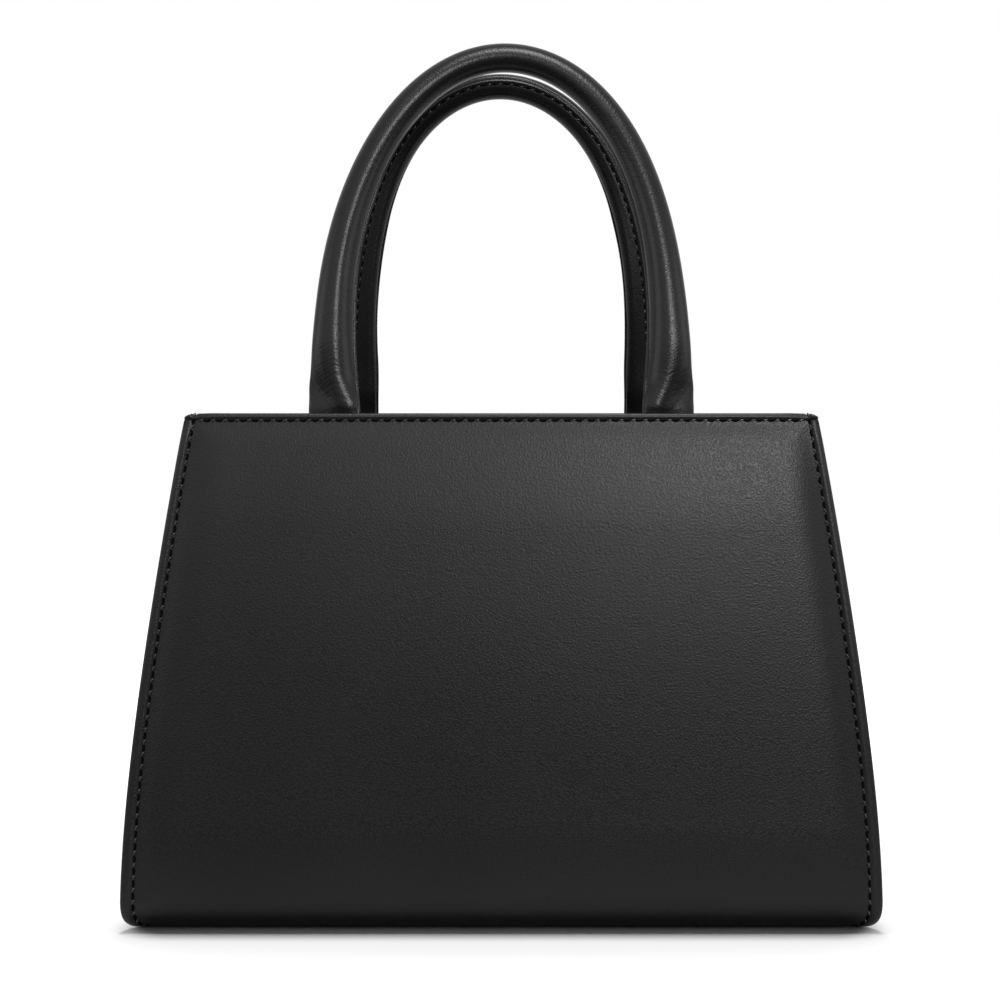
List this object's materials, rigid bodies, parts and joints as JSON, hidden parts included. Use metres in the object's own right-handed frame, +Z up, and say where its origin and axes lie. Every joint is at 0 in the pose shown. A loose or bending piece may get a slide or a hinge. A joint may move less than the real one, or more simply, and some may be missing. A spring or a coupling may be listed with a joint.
{
  "type": "tote bag",
  "caption": "Structured open-top leather tote with a trapezoid front, folded side gussets and rolled top handles that flex at their sewn roots.",
  "frame": {"origin": "on the floor under the middle of the base", "axes": "+Z up, -Y towards the front wall, +X to the right seen from the front"},
  "size_m": [0.28, 0.115, 0.3363],
  "materials": {
    "black_leather": "smooth fine-grain black leather, soft satin",
    "black_lining": "matt black woven lining",
    "foam_padding": "thin foam interlining",
    "stiffener_board": "bonded fibre board",
    "filler_cord": "twisted cotton filler cord"
  },
  "bodies": {
    "bag_body": {"base_panel": "black_leather", "base_board": "stiffener_board", "base_lining": "black_lining", "left_gusset": "black_leather", "left_gusset_lining": "black_lining", "left_gusset_facing": "black_leather", "right_gusset": "black_leather", "right_gusset_lining": "black_lining", "right_gusset_facing": "black_leather"},
    "front_wall": {"front_panel": "black_leather", "front_padding": "foam_padding", "front_board": "stiffener_board", "front_lining": "black_lining", "front_facing": "black_leather", "front_left_handle_tab": "black_leather", "front_right_handle_tab": "black_leather"},
    "back_wall": {"back_panel": "black_leather", "back_padding": "foam_padding", "back_board": "stiffener_board", "back_lining": "black_lining", "back_facing": "black_leather", "back_left_handle_tab": "black_leather", "back_right_handle_tab": "black_leather"},
    "front_handle": {"front_handle_cover": "black_leather", "front_handle_core": "filler_cord"},
    "back_handle": {"back_handle_cover": "black_leather", "back_handle_core": "filler_cord"}
  },
  "joints": [
    {"name": "front_wall_open", "type": "hinge", "parent": "bag_body", "child": "front_wall", "pos_m": [0, -0.05747, 0.01283], "axis": [1, 0, 0], "range_deg": [0, 2.5]},
    {"name": "back_wall_open", "type": "hinge", "parent": "bag_body", "child": "back_wall", "pos_m": [0, 0.05747, 0.01283], "axis": [-1, 0, 0], "range_deg": [0, 2.5]},
    {"name": "front_handle_swing", "type": "hinge", "parent": "front_wall", "child": "front_handle", "pos_m": [0, -0.04408, 0.195], "axis": [1, 0, 0], "range_deg": [-5, 90], "stiffness_Nm_per_rad": 0.15, "springref_deg": 1.72},
    {"name": "back_handle_swing", "type": "hinge", "parent": "back_wall", "child": "back_handle", "pos_m": [0, 0.04408, 0.195], "axis": [-1, 0, 0], "range_deg": [-5, 90], "stiffness_Nm_per_rad": 0.15, "springref_deg": 1.72}
  ]
}
